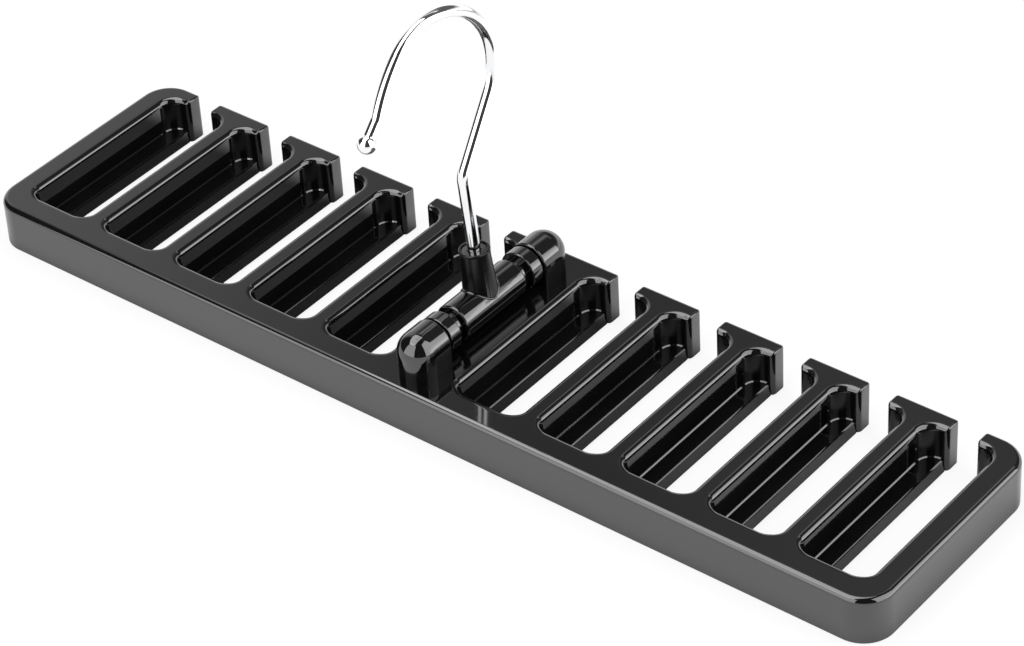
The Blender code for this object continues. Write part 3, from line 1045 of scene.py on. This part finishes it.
@dataclass
class Pivot:
    """The bearing ears, collars, block, bush and axle on the centre block."""

    palette: Palette
    top: float = 0.0156
    axle: float = 0.0222
    lean: float = 5.5
    round_steps: int = 96
    ring_steps: int = 72
    ear_radius: float = 0.0066
    ear_face: float = 0.0222
    ear_shelf: float = 0.0070
    ear_edge: float = 0.0006
    ear_edge_steps: int = 5
    ear_side: float = 0.0058
    dome_sweep: float = 89.2
    dome_steps: int = 24
    arch_steps: int = 40
    barrel_half: float = 0.0138
    barrel_radius: float = 0.0060
    barrel_edge: float = 0.0006
    collar_start: float = 0.0141
    ring_start: float = 0.0170
    ring_end: float = 0.0214
    ring_radius: float = 0.0063
    ring_edge: float = 0.0004
    neck_radius: float = 0.0043
    face_radius: float = 0.0036
    face_height: float = 0.0005
    pin_radius: float = 0.0023
    bore_half: float = 0.016
    bore_steps: int = 64
    stem_height: float = 0.0184
    stem_foot: float = 0.00545
    stem_top: float = 0.00458
    stem_clear: float = 0.001
    rim_radius: float = 0.00480
    rim_edge: float = 0.0004
    lip_share: float = 0.6
    groove: Point3 = (0.2, 2.0, 2.5)
    recess_radius: float = 0.0039
    recess_depth: float = 0.0011
    fillet_size: float = 0.00042
    fillet_place: float = 0.985
    fillet_sides: int = 10
    seat_radius: float = 0.0033
    seat_span: Point2 = (0.0080, 0.0200)
    bush_bore: float = 0.00205
    bush_radius: float = 0.0030
    bush_foot: float = 0.0108
    bush_edge: float = 0.0002
    bush_gap: float = 0.00003

    def fold_matrix(self) -> Matrix:
        """Return the place of the leaning block: the axle's middle, tilted about the axle."""
        return Matrix.Translation((0, 0, self.axle)) @ Matrix.Rotation(math.radians(-self.lean), 4, "Y")

    def ear_mesh(self, sign: int) -> BMesh:
        """Loft one bearing ear from arches.

        Args:
            sign: -1 for the front ear and 1 for the rear one.

        Returns:
            The ear's mesh.
        """
        radius = self.ear_radius
        edge = self.ear_edge
        turns = [math.pi / 2 * step / self.ear_edge_steps for step in range(self.ear_edge_steps + 1)]
        stations = [(edge * (1 - math.cos(turn)), radius - edge * (1 - math.sin(turn))) for turn in turns]
        stations.append((self.ear_shelf, radius))
        for step in range(1, self.dome_steps + 1):
            turn = math.radians(self.dome_sweep) * step / self.dome_steps
            stations.append((self.ear_shelf + radius * math.sin(turn), radius * math.cos(turn)))
        foot = self.top - self.axle
        turns = [math.pi * index / self.arch_steps for index in range(self.arch_steps + 1)]
        rings = []
        for reach, width in stations:
            arch = [(width * math.cos(turn), width * math.sin(turn)) for turn in turns]
            section = [(width, foot), (width, foot * 0.5)] + arch + [(-width, foot * 0.5), (-width, foot)]
            y = sign * (self.ear_face + reach)
            rings.append([(x, y, self.axle + z) for x, z in section])
        return loft(rings)

    def low_on_ear(self, place: Vector) -> bool:
        """Tell whether a place is low on an ear, or below the axle on its right side."""
        on_side = place.x > self.ear_side and place.z < self.axle
        return on_side or place.z < (self.top + self.axle) / 2

    def collar(self, name: str, sign: int) -> Piece:
        """Build one collar with its rounded ring and slim neck.

        Args:
            name: The piece's name.
            sign: -1 for the front collar and 1 for the rear one.

        Returns:
            The collar.
        """
        edge = self.ring_edge
        high = self.ring_end
        face = high + self.face_height
        profile: list[Point2] = [(self.face_radius, face), (self.face_radius, high)]
        profile += quarter((self.ring_radius - edge, high - edge), edge, 90.0, 8)
        profile += quarter((self.ring_radius - edge, self.ring_start + edge), edge, 0.0, 8)
        profile += [(self.neck_radius, self.ring_start), (self.neck_radius, self.collar_start)]
        profile += [(self.pin_radius, self.collar_start), (self.pin_radius, face)]
        piece = turned(name, profile, self.ring_steps, closed=True)
        turn = Matrix.Rotation(-sign * math.pi / 2, 4, "X")
        set_place(piece, Matrix.Translation((0, 0, self.axle)) @ turn)
        weight_normals(piece)
        return piece

    def stem(self) -> Piece:
        """Turn the upright stem with its rim ring and recess.

        Returns:
            The stem, on the axle's middle.
        """
        rim = self.rim_edge
        lip = rim * self.lip_share
        high = self.stem_height
        floor = high - self.recess_depth
        profile = [(0.0, floor), (self.recess_radius, floor)]
        profile += quarter((self.recess_radius + lip, high - lip), lip, 180.0, 5)
        profile += quarter((self.rim_radius - rim, high - rim), rim, 90.0, 6)
        inset, start, end = (rim * share for share in self.groove)
        profile += [(self.rim_radius - inset, high - start), (self.stem_top, high - end)]
        profile += [(self.stem_foot, 0.0), (0.0, 0.0)]
        return turned("pivot_stem", profile, self.round_steps)

    def barrel_and_stem(self) -> Piece:
        """Build the block as one moulding with its axle bore and the bush's seat.

        Returns:
            The block.
        """
        edge = self.barrel_edge
        end = self.barrel_half
        rounded = self.barrel_radius - edge
        profile: list[Point2] = [(0.0, end)] + quarter((rounded, end - edge), edge, 90.0, 6)
        profile += quarter((rounded, edge - end), edge, 0.0, 6) + [(0.0, -end)]
        barrel = turned("pivot_moulding", profile, self.round_steps)
        along_axle = Matrix.Rotation(math.pi / 2, 4, "X")
        set_place(barrel, along_axle)
        stem = self.stem()
        union = barrel.modifiers.new("Stem", "BOOLEAN")
        union.operation = "UNION"
        union.object = stem
        bore = bar("pivot_bore", (self.pin_radius,) * 2, (-self.bore_half, self.bore_half), self.bore_steps)
        set_place(bore, along_axle)
        seat = bar("pivot_seat", (self.seat_radius,) * 2, self.seat_span, self.bore_steps)
        cut_away(barrel, [bore, seat])
        bpy.data.objects.remove(stem, do_unlink=True)
        set_place(barrel, self.fold_matrix())
        weight_normals(barrel)
        return barrel

    def on_stem(self, place: Vector) -> bool:
        """Tell whether a place on the block is on its stem, above the barrel."""
        return place.z > self.axle + self.barrel_radius + self.stem_clear

    def root_fillet(self) -> Piece:
        """Build the small fillet that runs round the stem's root on the barrel.

        Returns:
            The fillet.
        """
        size = self.fillet_size
        radius = self.stem_foot * self.fillet_place
        rings = []
        for index in range(self.round_steps):
            turn = math.tau * index / self.round_steps
            outward = Vector((math.cos(turn), math.sin(turn), 0.0))
            x = radius * math.cos(turn)
            z = math.sqrt(max(self.barrel_radius**2 - x**2, 0.0))
            here = Vector((x, radius * math.sin(turn), z))
            angles = [math.tau * corner / self.fillet_sides for corner in range(self.fillet_sides)]
            rings.append([
                here + (outward * (size * math.cos(angle)) + Vector((0, 0, size * math.sin(angle))))
                for angle in angles
            ])
        piece = link_mesh("stem_root_fillet", loft(rings, closed=True), angle=80.0)
        set_place(piece, self.fold_matrix())
        return piece

    def bush(self) -> Piece:
        """Build the flanged bush in the top of the stem.

        Returns:
            The bush.
        """
        edge = self.bush_edge
        top = self.stem_height - self.rim_edge
        foot = self.stem_height - self.recess_depth
        wide = self.recess_radius - self.bush_gap
        profile: list[Point2] = [(self.bush_bore, top - edge), (self.bush_bore + edge, top)]
        profile += quarter((wide - edge, top - edge), edge, 90.0, 4)
        profile += [(wide, foot), (self.bush_radius, foot)]
        profile += [(self.bush_radius, self.bush_foot), (self.bush_bore, self.bush_foot)]
        piece = turned("stem_bush_ring", profile, self.ring_steps, closed=True)
        set_place(piece, self.fold_matrix())
        weight_normals(piece)
        return piece

    def build(self) -> None:
        """Build and dress the ears, collars, block and bush, and dress the axle."""
        for side, sign in (("front", -1), ("rear", 1)):
            ear = link_mesh(f"ear_dome_{side}", self.ear_mesh(sign), angle=50.0)
            weight_normals(ear)
            self.palette.dress(ear, Slot.GLOSS, Body.COMB, f"ear_{side}")
            # Painted shade: the ear's lower part, and its right side below the axle, get the darker dull
            # copy of the plastic.
            self.palette.give_dull_shade(ear, self.low_on_ear)
            collar = self.collar(f"collar_ring_{side}", sign)
            self.palette.dress(collar, Slot.GLOSS, Body.COMB, f"collar_{side}")
        block = self.barrel_and_stem()
        self.palette.dress(block, Slot.GLOSS, Body.PIVOT, "t_block")
        # Painted shade: the stem above the barrel gets the darker dull copy of the plastic.
        self.palette.give_dull_shade(block, self.on_stem)
        self.palette.dress(self.root_fillet(), Slot.GLOSS, Body.PIVOT)
        self.palette.dress(self.bush(), Slot.GLOSS, Body.PIVOT, "stem_bush")
        self.palette.dress_solid("axle_pin", Slot.ZINC)


# The hook


@dataclass
class WireHook:
    """The chrome wire from its seat in the stem, round the loop and out to the ball."""

    palette: Palette
    pivot: Pivot
    wire_radius: float = 0.00197
    foot: float = 0.0083
    shank_top: float = 0.0431
    shank_bend: float = 0.0060
    limb_angle: float = 35.4
    limb_length: float = 0.0245
    loop_radius: float = 0.0216
    loop_sweep: float = 168.2
    tail_radius: float = 0.0484
    tail_sweep: float = 20.1
    neck_bend: float = 0.0050
    neck_angle: float = 17.4
    neck_length: float = 0.0080
    ball_radius: float = 0.00285
    ball_foot: float = 0.80
    ball_end: float = 1.02
    ball_grip: float = 1.01
    turn: float = 86.0
    step_length: float = 0.001
    step_angle: float = 2.0
    wire_sides: int = 32
    ball_steps: int = 24

    def matrix(self) -> Matrix:
        """Return the place of the hook's plane, turned in the leaning stem."""
        return self.pivot.fold_matrix() @ Matrix.Rotation(math.radians(self.turn), 4, "Z")

    def path(self) -> tuple[list[Vector], Vector]:
        """Work out the wire's centre line in its plane.

        Returns:
            Its points, and its last heading.
        """
        here = Vector((0.0, self.foot))
        heading = math.pi / 2
        points = [here.copy()]
        corner = self.shank_bend * math.tan(math.radians(self.limb_angle) / 2)
        neck_arc = self.neck_bend * math.radians(self.neck_angle)
        steps: list[Point2] = [
            (self.shank_top - corner - self.foot, 0.0),
            (self.shank_bend, -self.limb_angle),
            (self.limb_length - corner, 0.0),
            (self.loop_radius, self.loop_sweep),
            (self.tail_radius, self.tail_sweep),
            (self.neck_bend, -self.neck_angle),
            (self.neck_length - neck_arc, 0.0),
        ]
        for size, sweep in steps:
            along = Vector((math.cos(heading), math.sin(heading)))
            if sweep == 0.0:
                count = max(2, int(size / self.step_length))
                points += [here + along * (size * index / count) for index in range(1, count + 1)]
                here = points[-1].copy()
                continue
            side = 1.0 if sweep > 0 else -1.0
            center = here + Vector((-along.y, along.x)) * (size * side)
            spoke = here - center
            count = max(4, int(abs(sweep) / self.step_angle))
            for index in range(1, count + 1):
                angle = math.radians(sweep) * index / count
                points.append(center + Matrix.Rotation(angle, 2) @ spoke)
            here = points[-1].copy()
            heading += math.radians(sweep)
        return points, Vector((math.cos(heading), math.sin(heading)))

    def wire_mesh(self, points: Sequence[Vector]) -> BMesh:
        """Sweep the round wire along its path.

        Args:
            points: The centre line in the hook's plane.

        Returns:
            The wire's mesh.
        """
        turns = [math.tau * side / self.wire_sides for side in range(self.wire_sides)]
        rings = []
        for index, point in enumerate(points):
            before = points[max(index - 1, 0)]
            after = points[min(index + 1, len(points) - 1)]
            along = (after - before).normalized()
            across = Vector((-along.y, along.x))
            ring = []
            for turn in turns:
                flat = point + across * (self.wire_radius * math.cos(turn))
                ring.append((flat.x, self.wire_radius * math.sin(turn), flat.y))
            rings.append(ring)
        return loft(rings)

    def ball(self, center: Vector, along: Vector) -> Piece:
        """Build the round tip, with a flat foot on the wire's end.

        Args:
            center: The ball's middle in the hook's plane.
            along: The wire's heading into the ball.

        Returns:
            The ball.
        """
        radius = self.ball_radius
        foot = -radius * self.ball_foot
        profile: list[Point2] = []
        for index in range(self.ball_steps + 1):
            angle = math.pi * index / self.ball_steps
            width = radius * math.sin(angle)
            height = radius * math.cos(angle)
            if height < 0 and width < self.wire_radius * self.ball_end:
                break
            profile.append((width if index else 0.0, height))
        profile += [(self.wire_radius * self.ball_grip, foot), (0.0, foot)]
        piece = turned("hook_tip_ball", profile, SMALL_STEPS)
        turn = math.atan2(along.x, along.y)
        set_place(piece, Matrix.Translation((center.x, 0, center.y)) @ Matrix.Rotation(turn, 4, "Y"))
        return piece

    def build(self) -> None:
        """Build and dress the wire and the ball, and dress the collar inside the stem."""
        points, along = self.path()
        wire = link_mesh("hook_wire_round", self.wire_mesh(points[:-1]), angle=60.0)
        ball = self.ball(points[-1], along)
        for piece, node in ((wire, "hook_wire"), (ball, "hook_ball")):
            set_place(piece, self.matrix())
            self.palette.dress(piece, Slot.CHROME, Body.HOOK, node)
        self.palette.dress_solid("shank_collar", Slot.ZINC)


# The studio


def heading(bearing: float, height: float) -> Vector:
    """Return a direction from its bearing, clockwise from the rear, and its height, both in degrees."""
    across = Matrix.Rotation(math.radians(-bearing), 3, "Z") @ Matrix.Rotation(math.radians(height), 3, "X")
    return across @ Vector((0.0, 1.0, 0.0))


@dataclass(frozen=True)
class SoftBox:
    """A rectangular lamp: its middle, the way it faces, its size and its brightness."""

    name: str
    middle: Point3
    facing: Point3
    width: float
    height: float
    radiance: float

    def build(self) -> None:
        """Add the lamp, out of the camera's sight."""
        data = bpy.data.lights.new(self.name, "AREA")
        data.shape = "RECTANGLE"
        data.size = self.width
        data.size_y = self.height
        data.energy = self.radiance * math.pi * self.width * self.height
        lamp = bpy.data.objects.new(self.name, data)
        lamp.location = self.middle
        lamp.rotation_euler = Vector(self.facing).to_track_quat("-Z", "Y").to_euler()
        lamp.visible_camera = False
        bpy.context.scene.collection.objects.link(lamp)


def standing_box(
    name: str, bearings: Point2, heights: Point2, distance: float, radiance: float
) -> SoftBox:
    """Stand an upright soft box round the comb.

    Args:
        name: The lamp's name.
        bearings: The bearings of its two sides, in degrees.
        heights: The heights of its lower and upper edges, in metres.
        distance: Its distance from the comb.
        radiance: Its brightness.

    Returns:
        The lamp.
    """
    toward = heading((bearings[0] + bearings[1]) / 2, 0.0)
    half = math.radians(bearings[1] - bearings[0]) / 2
    place = toward * distance + Vector((0.0, 0.0, sum(heights) / 2))
    width = 2 * distance * math.tan(half)
    return SoftBox(name, tuple(place), tuple(-toward), width, heights[1] - heights[0], radiance)


@dataclass(frozen=True)
class SkyPatch:
    """A soft bright patch of the surroundings, with its place and half sizes in degrees."""

    bearing: float
    height: float
    half_width: float
    half_height: float
    edge: float
    level: float
    ahead: Point2 = (0.02, 0.10)

    def shade(self, graph: Graph, direction: Socket) -> Term:
        """Return the patch's light along a direction.

        Args:
            graph: The world's graph.
            direction: The direction looked along.

        Returns:
            The patch's level there.
        """
        center = heading(self.bearing, self.height)
        across = heading(self.bearing + 90.0, 0.0)
        upward = across.cross(center).normalized()
        along = graph.dot(direction, center)
        inside = along.step(*self.ahead)
        for axis, half in ((across, self.half_width), (upward, self.half_height)):
            offset = (graph.dot(direction, axis) / along.maximum(self.ahead[0])).absolute()
            low = math.tan(math.radians(max(half - self.edge, 0.0)))
            high = math.tan(math.radians(half + self.edge))
            inside = inside * (1.0 - offset.step(low, high))
        return inside * self.level


@dataclass
class Studio:
    """The pale floor, the soft surroundings, the lamps and the camera."""

    floor_size: float = 6.0
    floor_drop: float = 0.0002
    paper: float = 0.90
    shaded_paper: float = 0.19
    shade_ends: Point2 = (0.158, 0.170)
    shade_sides: Point2 = (0.034, 0.045)
    shade_fade: Point2 = (-0.01, 0.13)
    shade_loss: float = 0.62
    front_fade: Point2 = (-0.052, -0.030)
    seen_glow: float = 0.86
    mirrored_glow: float = 0.25
    front_glow: float = 0.5
    rear_fade: Point2 = (0.0, 0.35)
    left_fade: Point2 = (0.45, 0.75)
    low_fade: Point2 = (0.10, 0.42)
    horizon: Point2 = (-0.02, 0.03)
    sky_level: float = 0.05
    rear_level: float = 0.06
    left_level: float = 0.82
    low_level: float = 1.5
    boxes: tuple[SoftBox, ...] = (
        standing_box("box_right", (45.4, 107.5), (0.04, 1.68), 0.76, 2.7),
        standing_box("box_front", (165.0, 221.0), (0.05, 2.70), 1.6, 2.3),
        SoftBox("box_overhead", (-0.46, -0.16, 1.5), (0.0, 0.0, -1.0), 1.05, 1.60, 3.2),
    )
    patches: tuple[SkyPatch, ...] = (
        SkyPatch(-15.0, 48.5, 20.0, 2.5, 1.0, 0.8),
        SkyPatch(-26.0, 41.0, 9.0, 6.0, 3.5, 0.15),
        SkyPatch(266.0, 56.5, 14.0, 3.0, 2.5, 1.2),
    )
    sensor_width: float = 36.0
    focal_pixels: float = 3629.0
    frame_width: float = 1024.0
    camera_place: Point3 = (0.5566, -0.6422, 0.6675)
    camera_right: Point3 = (0.78450, 0.61829, -0.04771)
    camera_up: Point3 = (-0.34845, 0.50313, 0.79085)
    camera_back: Point3 = (0.51298, -0.60380, 0.61015)

    def floor(self) -> None:
        """Lay the white floor, with painted shade under the comb for all but the camera's rays, and a
        painted glow in front of it for mirrored rays.
        """
        bm = bmesh.new()
        bmesh.ops.create_grid(bm, x_segments=4, y_segments=4, size=self.floor_size / 2)
        bmesh.ops.translate(bm, verts=bm.verts, vec=(0, 0, -self.floor_drop))
        floor = link_mesh("studio_floor", bm)
        material, graph = new_material("studio_floor_paper")
        camera, mirrored = graph.rays()
        x, y = graph.axes(graph.node("ShaderNodeTexCoord").outputs["Object"])[:2]
        # Painted shade: under the comb the floor is darker for all but the camera's rays, less so towards
        # the right.
        under = (1.0 - x.absolute().step(*self.shade_ends)) * (1.0 - y.absolute().step(*self.shade_sides))
        shade = under * (1.0 - camera) * (1.0 - x.step(*self.shade_fade) * self.shade_loss)
        front = 1.0 - y.step(*self.front_fade)
        pale, dark = (
            graph.node("ShaderNodeBsdfDiffuse", {"Color": (level, level, level, 1.0)})
            for level in (self.paper, self.shaded_paper)
        )
        paper = graph.node("ShaderNodeMixShader", {0: shade, 1: pale.outputs[0], 2: dark.outputs[0]})
        glow = graph.node("ShaderNodeEmission", {"Color": WHITE, "Strength": 1.0})
        share = camera * self.seen_glow
        # Painted light: mirrored rays see the floor glow, brighter in front of the comb and not under it.
        share = share + mirrored * (1.0 - under) * (self.mirrored_glow + front * self.front_glow)
        surface = graph.node("ShaderNodeMixShader", {0: share, 1: paper.outputs[0], 2: glow.outputs[0]})
        graph.node("ShaderNodeOutputMaterial", {"Surface": surface.outputs[0]})
        floor.data.materials.append(material)

    def surroundings(self) -> None:
        """Surround the object with a soft studio, with a white backdrop for the camera."""
        world = bpy.data.worlds.new("studio_world")
        world.use_nodes = True
        bpy.context.scene.world = world
        graph = Graph(world.node_tree)
        direction = graph.node("ShaderNodeTexCoord").outputs["Generated"]
        x, y, z = graph.axes(direction)
        rear = y.step(*self.rear_fade)
        left = (x * -1.0).step(*self.left_fade)
        low = rear * (1.0 - z.step(*self.low_fade))
        level = self.sky_level + rear * (self.rear_level + left * self.left_level)
        level = level.maximum(low * self.low_level)
        for patch in self.patches:
            level = level + patch.shade(graph, direction)
        camera, mirrored = graph.rays()
        white = camera.maximum(mirrored * (1.0 - z.step(*self.horizon)))
        backdrop = graph.node("ShaderNodeBackground", {"Color": WHITE, "Strength": 1.0})
        dome = graph.node("ShaderNodeBackground", {"Color": WHITE, "Strength": level})
        surface = graph.node("ShaderNodeMixShader", {0: white, 1: dome.outputs[0], 2: backdrop.outputs[0]})
        graph.node("ShaderNodeOutputWorld", {"Surface": surface.outputs[0]})

    def lamps(self) -> None:
        """Hang the soft boxes."""
        for box in self.boxes:
            box.build()

    def camera(self) -> None:
        """Place the camera at the photograph's view."""
        data = bpy.data.cameras.new("photo_camera")
        data.sensor_width = self.sensor_width
        data.lens = self.focal_pixels / self.frame_width * self.sensor_width
        data.clip_start = 0.01
        data.clip_end = 50.0
        camera = bpy.data.objects.new("photo_camera", data)
        matrix = Matrix((self.camera_right, self.camera_up, self.camera_back)).transposed().to_4x4()
        matrix.translation = self.camera_place
        camera.matrix_world = matrix
        bpy.context.scene.collection.objects.link(camera)
        bpy.context.scene.camera = camera

    def build(self) -> None:
        """Set up the whole studio."""
        self.floor()
        self.surroundings()
        self.lamps()
        self.camera()
        bpy.context.scene.view_settings.view_transform = "Standard"


def main() -> None:
    """Build every piece in order, then the studio."""
    logging.basicConfig(level=logging.INFO, format="%(name)s: %(message)s")
    palette = Palette()
    CombShell(palette).build()
    BasePlate(palette).build()
    pivot = Pivot(palette)
    pivot.build()
    WireHook(palette, pivot).build()
    Studio().build()


if __name__ == "__main__":
    main()
